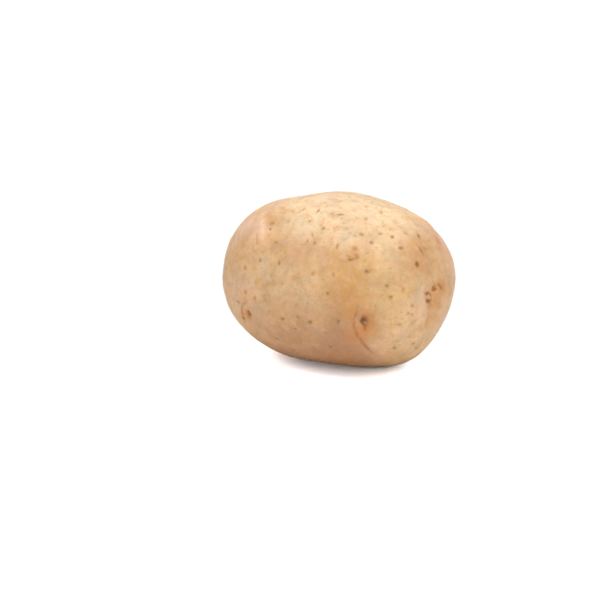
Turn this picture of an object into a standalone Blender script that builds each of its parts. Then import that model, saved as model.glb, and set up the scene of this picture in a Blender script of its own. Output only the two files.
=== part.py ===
"""A whole table potato, lying on its side as it comes to rest: one solid that grew in one piece.

Metres, +Z up. +X points to the rose end, where the eyes crowd together, and -X to the heel end,
where the tuber hung from its stolon. The origin is on the surface that it rests on, below the
middle of its outline.
"""

import math

import bmesh
import bpy
from mathutils import Matrix, Vector

MM = 0.001

# Body, before its forms and eyes: an egg-shaped superellipsoid, turned a little as it lies
LENGTH = 98 * MM
WIDTH = 74 * MM
THICKNESS = 71.5 * MM
SQUARENESS = 2.35
PITCH = math.radians(-1.8)
ROLL = math.radians(-16.6)

# Flat spot that it rests on
RESTING_DEPTH = 0.75 * MM
PLANE_SNAP = 0.05 * MM

# Faces along each edge of the cube that the body is blown up from
GRID = 30
EYE_REACH = math.radians(17)
EYE_DRAW = 0.6

SKIN_COLOUR = (0.72, 0.44, 0.22, 1.0)
SKIN_ROUGHNESS = 0.5

# Broad swellings and hollows. Azimuth is measured from +X towards +Y and elevation from the
# horizontal, both seen from the middle of the body: azimuth, elevation, spread, height
FORMS = {
    "nose_of_rose_end": (28, 0, 18, 1.0 * MM),
    "hollow_below_nose": (20, -24, 18, -1.4 * MM),
    "chin_of_rose_end": (8, -47, 20, 2.1 * MM),
    "flat_under_front": (-78, -71, 20, -0.8 * MM),
    "flat_under_back": (98, -60, 28, -3.4 * MM),
    "crown": (96, 71, 18, 1.0 * MM),
    "flat_above_heel": (174, 60, 18, -1.5 * MM),
    "flat_behind_heel": (-162, 28, 24, -1.1 * MM),
    "cheek_by_front_eye": (-30, -12, 14, 0.9 * MM),
    "valley_at_rose_eyes": (-12, -6, 9, -0.9 * MM),
    "shoulder_at_heel": (-134, 30, 13, 0.9 * MM),
    "flat_back": (112, 2, 26, -1.6 * MM),
    "cheek_of_back": (62, -18, 18, 0.9 * MM),
    "waist_below_heel": (-160, -30, 22, -1.2 * MM),
}

# Eyes: azimuth, elevation, turn of the brow from the heel's side, size
EYES = {
    "rose_front": (-14, 4, 25, 0.85),
    "rose_middle": (-6, 9, -35, 0.70),
    "rose_top": (38, 37, 10, 0.85),
    "rose_back": (36, -14, -15, 0.85),
    "front": (-47, -7, 27, 1.15),
    "crown_back": (64, 46, -12, 1.05),
    "under_back": (78, -42, 20, 0.95),
    "back": (108, 8, 8, 1.10),
    "heel_front_low": (-127, -15, -18, 0.95),
    "heel_top": (-123, 43, -20, 1.00),
    "heel_back": (156, 24, 15, 0.90),
}

# Relief of an eye of size 1, measured from the middle of its pit
RECESS_RADIUS = 8.0 * MM
RECESS_DEPTH = 1.3 * MM
PIT_RADIUS = 2.8 * MM
PIT_DEPTH = 1.1 * MM
PIT_STRETCH = 1.35
BROW_GAP = 3.6 * MM
BROW_BEND = 10.0 * MM
BROW_LENGTH = 8.5 * MM
BROW_STEP = 2.4 * MM
LIP_HEIGHT = 0.45 * MM
LIP_WIDTH = 3.5 * MM

# Scar at the heel end, where the stolon broke off
STOLON_SCAR = (178, -4)
SCAR_RADIUS = 5.5 * MM
SCAR_DEPTH = 1.6 * MM
STUB_RADIUS = 1.7 * MM
STUB_HEIGHT = 0.9 * MM


def clear_scene():
    for obj in list(bpy.data.objects):
        bpy.data.objects.remove(obj)


def direction(azimuth, elevation):
    """Unit vector from the middle of the body, for two angles in degrees."""
    around = math.radians(azimuth)
    above = math.radians(elevation)
    level = math.cos(above)
    return Vector((level * math.cos(around), level * math.sin(around), math.sin(above)))


def smooth_step(value):
    """0 below 0 and 1 above 1, with an even rise between."""
    share = min(max(value, 0.0), 1.0)
    return share * share * (3 - 2 * share)


LIE = Matrix.Rotation(PITCH, 3, "Y") @ Matrix.Rotation(ROLL, 3, "X")
LIE_INVERSE = LIE.transposed()


def body_point(way):
    """Where the body's skin lies in this direction, with its broad forms and without its eyes."""
    inner = LIE_INVERSE @ way
    halves = (LENGTH / 2, WIDTH / 2, THICKNESS / 2)
    total = sum(abs(part / half) ** SQUARENESS for part, half in zip(inner, halves))
    radius = total ** (-1 / SQUARENESS)
    for azimuth, elevation, spread, height in FORMS.values():
        angle = way.angle(direction(azimuth, elevation))
        radius += height * math.exp(-((angle / math.radians(spread)) ** 2))
    return way * radius


class Eye:
    """One eye: a recess with a pit in it, and a brow that steps up on the heel's side."""

    def __init__(self, azimuth, elevation, turn, size):
        self.way = direction(azimuth, elevation)
        self.centre = body_point(self.way)
        self.size = size
        heel = Vector((-1, 0, 0))
        towards_heel = (heel - self.way * heel.dot(self.way)).normalized()
        turned = Matrix.Rotation(math.radians(turn), 3, self.way)
        self.up = turned @ towards_heel
        self.across = self.up.cross(self.way)

    def relief(self, point):
        """How far the skin rises, or sinks if negative, at a point of the body."""
        offset = (point - self.centre) / self.size
        if offset.length > 4 * RECESS_RADIUS:
            return 0.0
        side = offset.dot(self.across)
        up = offset.dot(self.up)
        away = math.hypot(side, up)
        recess = RECESS_DEPTH * math.exp(-((away / RECESS_RADIUS) ** 2))
        pit_away = math.hypot(side / PIT_STRETCH, up)
        recess += PIT_DEPTH * math.exp(-((pit_away / PIT_RADIUS) ** 2))
        past_brow = up - BROW_GAP + side * side / (2 * BROW_BEND)
        above = smooth_step(0.5 + past_brow / BROW_STEP)
        strength = math.exp(-((side / BROW_LENGTH) ** 4))
        lip = LIP_HEIGHT * math.exp(-((past_brow / LIP_WIDTH) ** 2))
        return (strength * above * (lip + recess) - recess) * self.size


def scar_relief(point, centre):
    """The stolon's scar: a round hollow with the stub of the stolon in its middle."""
    away = (point - centre).length
    hollow = SCAR_DEPTH * math.exp(-((away / SCAR_RADIUS) ** 2))
    return STUB_HEIGHT * math.exp(-((away / STUB_RADIUS) ** 4)) - hollow


def drawn_to_eyes(way, eyes):
    """The direction moved towards each eye near it, so that more faces share its relief."""
    for eye in eyes:
        angle = way.angle(eye.way)
        if 0 < angle < EYE_REACH:
            share = EYE_DRAW * (1 - angle / EYE_REACH) ** 2
            way = way.slerp(eye.way, share)
    return way.normalized()


def even_cube(grid):
    """A cube of quads whose points, seen from its middle, are at even angles."""
    bm = bmesh.new()
    bmesh.ops.create_cube(bm, size=2.0)
    bmesh.ops.subdivide_edges(bm, edges=bm.edges[:], cuts=grid - 1, use_grid_fill=True)
    for vert in bm.verts:
        vert.co = Vector([math.tan(part * math.pi / 4) for part in vert.co])
    return bm


def rest_on_flat(bm):
    """Lowers the body onto the surface, cuts its flat spot, and puts the origin below its middle."""
    lowest = min(vert.co.z for vert in bm.verts)
    bmesh.ops.translate(bm, verts=bm.verts[:], vec=(0, 0, -lowest - RESTING_DEPTH))
    bmesh.ops.bisect_plane(
        bm,
        geom=bm.verts[:] + bm.edges[:] + bm.faces[:],
        dist=PLANE_SNAP,
        plane_co=(0, 0, 0),
        plane_no=(0, 0, -1),
        clear_outer=True,
    )
    rim = [edge for edge in bm.edges if edge.is_boundary]
    for edge in rim:
        for vert in edge.verts:
            vert.co.z = 0.0
    bmesh.ops.contextual_create(bm, geom=rim)
    middle_x = (min(vert.co.x for vert in bm.verts) + max(vert.co.x for vert in bm.verts)) / 2
    middle_y = (min(vert.co.y for vert in bm.verts) + max(vert.co.y for vert in bm.verts)) / 2
    bmesh.ops.translate(bm, verts=bm.verts[:], vec=(-middle_x, -middle_y, 0))
    bmesh.ops.recalc_face_normals(bm, faces=bm.faces[:])


def skin_material():
    material = bpy.data.materials.new("potato_skin")
    material.use_nodes = True
    shader = material.node_tree.nodes["Principled BSDF"]
    shader.inputs["Base Color"].default_value = SKIN_COLOUR
    shader.inputs["Roughness"].default_value = SKIN_ROUGHNESS
    shader.inputs["Metallic"].default_value = 0.0
    return material


def make_potato():
    eyes = [Eye(*values) for values in EYES.values()]
    scar_centre = body_point(direction(*STOLON_SCAR))
    bm = even_cube(GRID)
    for vert in bm.verts:
        way = drawn_to_eyes(vert.co.normalized(), eyes)
        point = body_point(way)
        rise = sum(eye.relief(point) for eye in eyes) + scar_relief(point, scar_centre)
        vert.co = point + way * rise
    rest_on_flat(bm)
    mesh = bpy.data.meshes.new("potato")
    bm.to_mesh(mesh)
    bm.free()
    mesh.shade_smooth()
    mesh.materials.append(skin_material())
    potato = bpy.data.objects.new("potato", mesh)
    bpy.context.scene.collection.objects.link(potato)
    return potato


clear_scene()
make_potato()
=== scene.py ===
"""A whole table potato: its skin, eyes, lenticels and scars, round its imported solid.

Metres, +Z up. The camera stands where the photograph's did. A mark that the photograph shows is
placed by the pixel where it shows, on the skin that this pixel's ray meets. The marks of the sides
that it doesn't show are placed by their directions from the body's middle: azimuth from +X, the
rose end, towards +Y, the back, and elevation from the horizontal, both in degrees.
"""

import math
import random

import bpy
import numpy as np
from mathutils import Matrix, Vector
from mathutils.bvhtree import BVHTree


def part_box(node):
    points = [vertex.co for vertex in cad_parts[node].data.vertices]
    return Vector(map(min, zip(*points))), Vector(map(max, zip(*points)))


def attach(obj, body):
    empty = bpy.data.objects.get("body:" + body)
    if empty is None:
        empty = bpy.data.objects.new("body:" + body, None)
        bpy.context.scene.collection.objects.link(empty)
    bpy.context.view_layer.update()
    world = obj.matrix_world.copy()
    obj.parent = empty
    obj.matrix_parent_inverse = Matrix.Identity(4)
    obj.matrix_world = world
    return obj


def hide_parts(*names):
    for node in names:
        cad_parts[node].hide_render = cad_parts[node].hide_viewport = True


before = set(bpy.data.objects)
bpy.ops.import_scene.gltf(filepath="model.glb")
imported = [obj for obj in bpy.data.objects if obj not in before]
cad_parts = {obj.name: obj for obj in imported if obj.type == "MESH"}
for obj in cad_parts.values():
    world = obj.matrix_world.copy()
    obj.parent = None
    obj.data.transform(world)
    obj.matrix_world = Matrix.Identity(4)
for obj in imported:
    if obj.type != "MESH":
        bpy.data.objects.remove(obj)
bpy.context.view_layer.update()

MM = 0.001
LOW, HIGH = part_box("potato")
MIDDLE = (LOW + HIGH) / 2

# Camera of the photograph, which shows 600 by 600 pixels
AZIMUTH = math.radians(28)
ELEVATION = math.radians(18)
DISTANCE = 0.83
AIM_RIGHT = -15.4 * MM
AIM_UP = -9.9 * MM
LENS = 120
SENSOR = 36
IMAGE_SIDE = 600
FOCAL_PIXELS = LENS / SENSOR * IMAGE_SIDE

# Skin: the ball that is shrunk onto the solid, and how its points crowd towards the eyes
MERGE_DISTANCE = 0.001 * MM
SOLID_LEVELS = 2
SOLID_SMOOTHING_ROUNDS = 60
BALL_LEVELS = 7
SKIN_SMOOTHING_ROUNDS = 3
SMOOTHING = 0.5
EYE_REACH = math.radians(15)
EYE_DRAW = 0.6

# Least height that a point is moved out or in by
LEAST_HEIGHT = 0.001 * MM

# Slow waves of the skin: size of a wave, height of the highest
WAVES = {"broad": (15 * MM, 0.5 * MM), "middle": (7 * MM, 0.2 * MM), "small": (3 * MM, 0.08 * MM)}

# Hollows of the eyes that the photograph shows: pixel, half length and half width in millimetres,
# turn of the long side in the picture in degrees, depth in millimetres, darkness
PITS_SEEN = {
    "front": ((363.7, 321.5), 2.1, 1.25, 106, 0.8, 1.08),
    "front_side": ((361.6, 321.2), 0.95, 0.75, 100, 0.35, 0.9),
    "front_foot": ((365.1, 328.6), 1.2, 0.5, 93, 0.2, 0.8),
    "rose_low_top": ((427.4, 293.8), 1.05, 0.8, 70, 0.4, 0.84),
    "rose_low_foot": ((428.3, 301.2), 1.2, 0.95, 125, 0.5, 0.9),
    "rose_high": ((434.7, 289.1), 1.5, 1.2, 30, 0.45, 0.84),
    "rose_high_right": ((440.8, 288.4), 0.9, 0.5, 120, 0.2, 0.6),
    "heel_spot": ((270.3, 229.1), 0.75, 0.65, 20, 0.1, 0.8),
}
# Their buds: pixel, half length, half width, turn, height
BUDS_SEEN = {
    "front": ((364.9, 323.0), 0.75, 0.55, 100, 0.55),
    "front_left": ((361.2, 325.2), 0.9, 0.35, 120, 0.12),
    "rose_low": ((428.2, 297.6), 1.2, 0.6, -35, 0.35),
    "rose_high": ((437.2, 287.5), 0.6, 0.45, 10, 0.12),
}
# The eyes that the photograph shows well, by the names of their buds
EYES_SEEN = ("front", "rose_low", "rose_high")
# Eyes round the other sides: azimuth, elevation, turn of the brow from the heel's side, size,
# darkness of the brow
EYES_HIDDEN = {
    "rose_top": (38, 37, 10, 0.85, 0.6),
    "rose_back": (36, -14, -15, 0.85, 0.5),
    "crown_back": (64, 46, -12, 1.05, 0.7),
    "under_back": (78, -42, 20, 0.95, 0.5),
    "back": (108, 8, 8, 1.10, 0.65),
    "heel_front_low": (-127, -15, -18, 0.95, 0.6),
    "heel_back": (156, 24, 15, 0.90, 0.45),
}
# Pit and bud of an eye of size 1, for these: half length, half width and depth or height, and how
# far the bud stands off the pit's middle, along and across, in millimetres
HIDDEN_PIT = (2.0, 1.15, 0.9)
HIDDEN_BUD = (0.85, 0.55, 0.5)
HIDDEN_BUD_OFF = (0.5, -0.2)
HIDDEN_PIT_DARK = 0.95
HALO_RADIUS = 2.6 * MM
HALO_STRENGTH = 0.8
# Scar at the heel end, where the stolon broke off: azimuth and elevation, radius and depth of the
# hollow, halves of its corky floor, halves and height of the stub, puckers round it
STOLON_SCAR = (178, -4)
SCAR_HOLLOW = (5.0 * MM, 0.8 * MM)
SCAR_FLOOR = (2.2 * MM, 1.8 * MM, 0.5 * MM)
SCAR_STUB = (1.1 * MM, 0.85 * MM, 0.75 * MM)
SCAR_PUCKERS = 8
# Puckers: where each starts and ends in shares of the hollow's radius, how far it may be turned,
# its points, half width, depth and darkness
PUCKER_START = 0.4
PUCKER_ENDS = (0.8, 1.5)
PUCKER_TURNS = (-0.3, 0.3)
PUCKER_POINTS = 5
PUCKER_WIDTH = 0.4 * MM
PUCKER_DEPTH = 0.22 * MM
PUCKER_DARKS = (0.2, 0.6)
# Tints of the scar: radius in shares of the hollow's, and strength
SCAR_TINTS = {"tan_and_shade": (1.3, 0.8), "rust": (0.8, 0.6)}
SCAR_DARK = 0.9

# How far from its middle a mark reaches at most, and the reach that stands for further out
MARK_REACH = 9 * MM
OUT_OF_REACH = 99
# Slopes of the marks, in shares of their ellipse: where a pit or a bud, and where a pit's shade or a
# lenticel, has sunk to about a third, and the place, width and share of depth of a pit's rim
PIT_SLOPE = 1.05
SHADE_SLOPE = 1.1
RIM_AT = 1.6
RIM_WIDTH = 0.45
RIM_SHARE = 0.15

# Brow creases that the photograph shows, as pixels along each, and a pixel on its eye's side
BROWS_SEEN = {
    "front": (
        (
            (357, 306), (356.2, 313), (353.8, 323), (355.6, 331.5), (360.5, 339.5), (366, 346.5),
            (375, 355.4),
        ),
        (364, 322),
        0.9,
    ),
    "rose": (
        (
            (425.8, 286), (424.6, 294), (425.2, 302), (427.6, 307.5), (427, 313), (425.6, 320),
            (423.8, 327.5), (421, 335),
        ),
        (436, 308),
        0.3,
    ),
}
BROW_GAP = 3.8 * MM
BROW_BEND = 10.0 * MM
BROW_LENGTH = 8.5 * MM
BROW_STEP = 0.4 * MM
HIDDEN_BROW_STEP = 0.2 * MM
BROW_REACH = 2.6 * MM
# Share of a brow's reach over which its lip steps up
LIP_STEP = 0.3
BROW_POINTS = 9
CREASE_WIDTH = 0.5 * MM
CREASE_DEPTH = 0.13 * MM
# Shares of its length over which a line fades out at each end
CREASE_FADE = 0.2
LIP_FADE = 0.3
# What stands for the distance from a far lenticel or crease, in millimetres
FAR_FROM_EDGE = 9.0

# Lenticels that the photograph shows: pixel, half length, half width in millimetres, turn in
# degrees, darkness
LENTICELS_SEEN = (
    ((303.4, 209), 1, 0.35, 45, 0.6), ((318.3, 210.9), 0.9, 0.45, 50, 0.8),
    ((332, 214), 0.9, 0.45, 0, 0.5), ((340.5, 214.8), 1.5, 0.4, 5, 0.8),
    ((323.3, 228.6), 0.7, 0.55, 20, 0.8), ((320.8, 225.6), 0.6, 0.35, -40, 0.4),
    ((288.4, 221.9), 0.6, 0.45, 45, 0.45), ((309.6, 221.6), 0.6, 0.4, 45, 0.45),
    ((312.3, 234.6), 0.8, 0.4, -70, 0.6), ((307.4, 241.2), 0.9, 0.4, 70, 0.6),
    ((314.4, 243), 0.7, 0.45, 80, 0.7), ((337.1, 246.2), 1.1, 0.45, 65, 0.7),
    ((292.6, 210.8), 0.6, 0.4, 60, 0.4), ((282.6, 208.8), 0.5, 0.35, 0, 0.3),
    ((349.5, 196.2), 0.7, 0.35, 0, 0.4), ((358.2, 200.8), 0.5, 0.35, 0, 0.35),
    ((371.5, 202.2), 0.6, 0.35, 0, 0.4), ((366.1, 206.6), 0.5, 0.3, 0, 0.35),
    ((375.8, 207.9), 0.6, 0.3, 30, 0.35), ((381.1, 212.4), 0.6, 0.55, 0, 0.6),
    ((391.7, 211.9), 0.4, 0.35, 0, 0.3), ((366, 219.5), 0.7, 0.5, 0, 0.5),
    ((357.2, 218.6), 0.5, 0.4, 0, 0.35), ((384, 226), 0.5, 0.4, 0, 0.35),
    ((390.2, 228.6), 0.5, 0.45, 0, 0.4), ((406, 233.2), 1.2, 0.4, -30, 0.4),
    ((361.6, 234.5), 0.9, 0.5, -10, 0.7), ((380.2, 234), 0.8, 0.55, 0, 0.6),
    ((392.3, 236.9), 0.7, 0.6, 30, 1), ((371.5, 242.8), 0.7, 0.6, 0, 0.9),
    ((418.7, 236), 0.95, 0.6, -60, 0.9), ((401, 248.1), 0.9, 0.6, -10, 0.9),
    ((354.7, 249), 0.9, 0.8, 0, 0.35), ((349.8, 259.9), 0.75, 0.45, 15, 1),
    ((367, 253.2), 0.6, 0.4, 0, 0.4), ((383.7, 253.4), 0.6, 0.4, 0, 0.3),
    ((366.6, 271.6), 0.9, 0.65, 0, 1), ((390.2, 268.4), 0.6, 0.4, 0, 0.4),
    ((386.7, 285.9), 0.8, 0.6, 0, 0.7), ((391, 297.2), 0.7, 0.6, 30, 0.8),
    ((299.2, 211.6), 0.8, 0.4, 45, 0.3), ((328.2, 229.6), 0.6, 0.4, 20, 0.3),
    ((321.9, 233), 0.6, 0.45, 30, 0.25), ((314, 239), 0.6, 0.3, -70, 0.35),
    ((337.2, 217.2), 0.7, 0.3, 10, 0.3), ((343.6, 223.5), 0.6, 0.35, 20, 0.3),
    ((346.7, 228.6), 0.6, 0.4, 0, 0.3), ((351, 227.4), 0.5, 0.35, 0, 0.3),
    ((349.9, 233.3), 0.7, 0.35, 20, 0.3), ((354.7, 235.8), 0.6, 0.45, 0, 0.35),
    ((345.3, 239.2), 0.7, 0.4, 40, 0.3), ((302.4, 244.6), 0.9, 0.4, 10, 0.25),
    ((403, 289.6), 0.5, 0.4, 80, 0.4), ((412, 305.8), 0.6, 0.5, 0, 0.6),
    ((408.2, 313.4), 0.5, 0.45, 0, 0.55), ((412, 314.3), 0.4, 0.4, 0, 0.5),
    ((402.5, 318.8), 0.5, 0.4, 0, 0.4), ((398.8, 324.7), 0.6, 0.5, 0, 0.55),
    ((394.3, 348), 0.7, 0.55, 0, 0.8), ((413.1, 343.6), 0.7, 0.45, 20, 0.6),
    ((415.8, 347.4), 0.6, 0.5, 20, 0.5), ((338.4, 321.6), 0.9, 0.6, 70, 0.9),
    ((417.2, 264.1), 1.15, 0.68, -80, 1.5), ((418.2, 246.2), 1, 0.35, -62, 0.35),
    ((421.5, 250.9), 1.35, 0.5, -58, 0.6), ((423.4, 254.6), 0.6, 0.4, -75, 0.5),
    ((424.8, 248.6), 1.1, 0.45, -64, 0.3), ((427.6, 241.2), 0.9, 0.45, 20, 0.25),
    ((276.2, 242.5), 0.8, 0.5, -20, 0.6), ((272.4, 223.5), 0.8, 0.6, 20, 0.6),
)
# Scratches and flakes of the skin that the photograph shows, as pixels along each, with half width
# in millimetres and darkness
SCARS_SEEN = {
    "flake_foot": (((347.8, 258.4), (350.4, 260), (354, 259.2), (357, 258), (359.6, 256)), 0.35, 0.8),
    "flake_left": (((346.2, 255.2), (348.6, 256.6), (351.4, 257.2)), 0.25, 0.7),
    "flake_top": (((353.4, 255.6), (356.4, 254.8), (359.4, 255.6)), 0.4, 0.6),
    "nick_at_right": (((438.2, 238.6), (438.2, 241), (437.8, 243.6)), 0.4, 0.5),
    "rose_high_arc": (
        ((432.4, 290.6), (433.6, 287), (435.6, 284.9), (438.2, 284.6), (440.4, 286.6), (441.8, 290.4)),
        0.5,
        1,
    ),
    "rose_low_ring_left": (
        ((427.4, 292.2), (425.8, 294.6), (425.2, 297.4), (425.6, 300.2), (427.4, 303)),
        0.28,
        0.9,
    ),
    "rose_low_ring_right": (
        ((427.6, 292), (429.6, 293.6), (430.9, 296.2), (431.2, 299.2), (429.8, 302.2)),
        0.28,
        0.85,
    ),
    "rose_low_tail": (((429.4, 304.4), (431.2, 305.4), (433.4, 305.4)), 0.3, 0.5),
    "front_arc": (((361.2, 318), (363.4, 316.4), (366, 317.2), (367.6, 319.8), (368, 323.2)), 0.35, 0.8),
    "foot_of_brow": (
        ((357.6, 334.2), (359.8, 337.6), (365.7, 346.4), (372.6, 353.2), (379, 357.8)),
        0.25,
        0.9,
    ),
    "left_of_brow": (((351, 338.6), (355, 340.2)), 0.3, 0.7),
    "foot_of_valley": (((426.2, 319.5), (425.4, 323.5), (424.2, 328)), 0.35, 0.8),
    "heel_streak": (((257.2, 232), (256.6, 239), (257.4, 246)), 0.5, 0.4),
    "heel_streak_left": (((240, 232), (238.6, 240), (239, 247)), 0.5, 0.35),
}
SCAR_DEPTH = 0.12 * MM

# Folds that stand proud, pale along them as a partly painted highlight, as pixels along each, with half
# width and height in millimetres
FOLDS_SEEN = {
    "heel": (((261.6, 214), (262, 222), (262.6, 232), (262, 241), (263, 250)), 1, 0.15),
    "rose": (
        ((420.5, 282), (420.5, 294), (422.8, 305), (421.8, 313), (420, 321), (417.6, 330)),
        2.6,
        0.22,
    ),
}

# Soft swells, or dips if negative, that bring the outline to the photograph's: pixel, radius and
# height in millimetres
SWELLS_SEEN = {
    "by_rose_top": ((418.5, 218.8), 6, 0.8),
    "below_rose_top": ((428, 225), 4, 0.45),
    "crown": ((342, 191.8), 9, -0.65),
    "heel_shoulder": ((288, 198.4), 10, -0.6),
    "chin": ((415, 354), 8, 0.65),
    "nose": ((451, 290), 9, 0.3),
}

# Lenticels of the sides that the photograph doesn't show: how many are tried, the least space
# between two, their half lengths in millimetres, widths as shares of that, and darkness
LENTICEL_TRIES = 900
LENTICEL_SPACE = 5.5 * MM
LENTICEL_LENGTHS = (0.4, 1.0)
LENTICEL_WIDTHS = (0.5, 0.9)
LENTICEL_DARKS = (0.2, 1.0)
LENTICEL_SLANTS = (-0.5, 0.5)
LENTICEL_RISE = 0.3
# Depth of the darkest lenticel
LENTICEL_DEPTH = 0.10 * MM
SEED = 7
# Left of the body's middle, the photograph shows nothing of the skin below this height over it
HIDDEN_BELOW = 8 * MM

# Patches of another tint that the photograph shows: pixel, radius in millimetres, strength
TINTS_SEEN = {
    # Pale: the broad patches over the top are partly painted light on the top, and the small ones on the
    # folds partly a painted highlight; the others are the skin's own paler tone
    "pale_and_top_light": (
        ((365, 205), 16, 0.9), ((325, 212), 11, 0.6), ((395, 222), 9, 0.5), ((372, 235), 8, 0.4),
        ((400, 338), 7, 0.3), ((408, 324), 8, 0.3), ((252, 222), 6, 0.5), ((322, 200), 8, 0.6),
        ((346, 196), 8, 0.6), ((296, 212), 8, 0.3), ((246, 226), 5, 0.4), ((303, 226), 8, 0.65),
        ((290, 226), 5, 0.4), ((307, 229), 5, 0.6), ((411, 225), 5, 0.3), ((343, 237), 5, 0.4),
        ((416, 297), 3.5, 0.5), ((400, 337), 4, 0.35), ((424, 288), 2.5, 0.4), ((264, 214), 5, 0.4),
        ((330, 195), 7, 0.3), ((388, 255), 6, 0.5), ((362, 241), 6, 0.25),
    ),
    "honey": (
        ((400, 322), 12, 0.6), ((431, 317), 6, 0.7), ((396, 340), 7, 0.4), ((434, 285), 6, 0.3),
        ((411, 331), 6, 0.6), ((370, 300), 5, 0.4), ((390, 362), 6, 0.6), ((444, 300), 5, 0.4),
        ((438, 298), 5, 0.3),
    ),
    "rosy": (
        ((240, 232), 8, 0.8), ((258, 214), 7, 0.7), ((256, 236), 6, 0.7), ((425, 226), 6, 0.7),
        ((298, 250), 7, 0.4), ((344, 338), 9, 0.9), ((366, 345), 7, 0.6), ((422, 305), 7, 0.6),
        ((450, 262), 8, 0.7), ((438, 318), 7, 0.6), ((357, 247), 5, 0.6), ((404, 262), 7, 0.4),
    ),
    # Ochre: the first two patches, above and left of the front eye, are partly painted shade; the others
    # are the skin's own ochre
    "ochre": (
        ((350, 283), 9, 1), ((350, 301), 7, 0.8), ((341, 262), 5, 0.8), ((361, 266), 5, 0.6),
        ((375, 326), 6, 0.7), ((434, 299), 6, 1), ((439, 291), 3.5, 0.6), ((430, 320), 6, 0.9),
        ((277, 216), 4, 0.5), ((270, 240), 4, 0.4), ((382, 288), 6, 0.4), ((409, 296), 5, 0.2),
        ((372, 243), 5, 0.4), ((368, 268), 6, 0.4), ((431, 268), 5, 0.5), ((435, 291), 3, 0.6),
        ((428, 323), 3, 0.5), ((356, 322), 5, 0.4), ((370, 330), 4, 0.4),
    ),
    "rust": (
        ((368, 315.5), 2.4, 0.75), ((369, 322), 2.2, 0.9), ((365.2, 329), 1.8, 0.9),
        ((361, 333), 2.4, 0.3), ((355, 317), 3.5, 0.15), ((351, 340), 4, 0.3), ((427, 325), 4, 0.15),
        ((438, 291), 4, 0.2), ((433, 302), 4, 0.15), ((424, 307), 3, 0.12), ((435.5, 288.3), 1.6, 0.35),
        ((356, 333), 3, 0.3), ((361, 342), 3, 0.3), ((370, 331), 3, 0.35), ((438, 241.5), 1.6, 0.5),
        ((442.8, 286), 2.2, 0.85), ((436, 300), 4.5, 0.3), ((430, 319), 4, 0.4), ((350, 298), 8, 0.25),
        ((446, 300), 4, 0.15), ((353, 256), 2.4, 0.2), ((354, 311), 4, 0.35), ((354.5, 248.5), 1.6, 0.4),
        ((268.5, 215), 2.2, 0.2), ((270.5, 221), 2, 0.15), ((420, 264), 2, 0.5), ((437, 240), 2.2, 0.4),
        ((349, 336), 4, 0.4), ((357, 337), 1.8, 0.4), ((343, 356), 6, 0.3),
    ),
    # Earth: the broad patches low at the front and the left are painted shade; the small ones are the
    # skin's own brown stains
    "earth_and_shade": (
        ((328, 362), 13, 0.6), ((352, 362), 9, 0.6), ((343, 346), 9, 0.4), ((366, 365), 6, 0.2),
        ((342, 328), 8, 0.2), ((357, 256.6), 0.9, 0.5), ((354.9, 249.2), 1, 0.4), ((271, 218), 3.2, 0.16),
        ((422.6, 249.6), 2.2, 0.22), ((424.5, 243), 1.8, 0.15),
    ),
    # Smoke: small patches of a neutral darker tone; the one low at the front left is painted shade
    "smoke_and_shade": (
        ((381, 280), 5, 0.24), ((336, 215), 3, 0.2), ((320, 231), 3, 0.25), ((312, 249), 3, 0.2),
        ((408, 249), 3.5, 0.16), ((416, 257), 3, 0.12), ((343, 264), 3, 0.12), ((279, 241), 3, 0.2),
        ((424, 264), 3.5, 0.16), ((360, 240), 3, 0.1), ((336, 346), 6, 0.2), ((266, 236), 3, 0.1),
        ((408, 218), 3, 0.12), ((364, 225), 4, 0.1), ((345, 257), 3.5, 0.16), ((401, 313), 3, 0.13),
        ((417, 281), 3, 0.13), ((385, 281), 3, 0.13), ((377, 329), 3, 0.12), ((441, 288), 2.5, 0.14),
    ),
    "cream": (
        ((304, 231), 4, 0.3), ((308, 224), 3, 0.15), ((345, 239), 3.5, 0.28), ((352, 232), 3, 0.15),
        ((373, 241), 3.5, 0.16), ((402, 226), 4, 0.15), ((388, 252), 4, 0.16), ((288, 218), 3.5, 0.14),
        ((353, 216), 3, 0.1), ((241, 233), 3, 0.16), ((409, 233), 3, 0.12), ((369, 281), 3, 0.1),
        ((424, 288), 2, 0.15), ((416, 299), 3, 0.14), ((445, 304), 3, 0.14), ((360, 320), 1.6, 0.2),
        ((400, 336), 3, 0.12), ((369, 345), 3, 0.08), ((393, 329), 3, 0.1),
    ),
    "straw": (
        ((382, 278), 13, 0.3), ((350, 292), 7, 0.15), ((361, 241), 6, 0.15), ((409, 288), 5, 0.25),
        ((436, 296), 5, 0.3),
    ),
    "lilac": (
        ((246, 225), 5, 0.65), ((269, 208), 4, 0.35), ((330, 195), 5, 0.3), ((236, 238), 4, 0.3),
        ((257, 229), 4, 0.4), ((424, 228), 4, 0.3), ((441, 240), 4, 0.4),
    ),
    # Tan: the large patches low at the front and the left, and the one above and left of the front eye,
    # are painted shade; the others are the skin's own darker tan
    "tan_and_shade": (
        ((338, 350), 14, 1), ((348, 326), 9, 0.9), ((376, 360), 11, 0.7), ((440, 285), 8, 0.5),
        ((240, 242), 6, 0.4), ((420, 248), 8, 0.9), ((412, 262), 7, 0.5), ((440, 246), 7, 0.6),
        ((292, 248), 8, 0.6), ((264, 244), 5, 0.4), ((331, 256), 6, 0.6), ((348, 296), 7, 0.8),
        ((270, 225), 4, 0.5), ((420, 256), 6, 0.3), ((350, 226), 6, 0.3), ((271, 241), 5, 0.3),
        ((310, 241), 5, 0.3), ((370, 241), 5, 0.25), ((451, 285), 6, 0.5),
    ),
}
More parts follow.
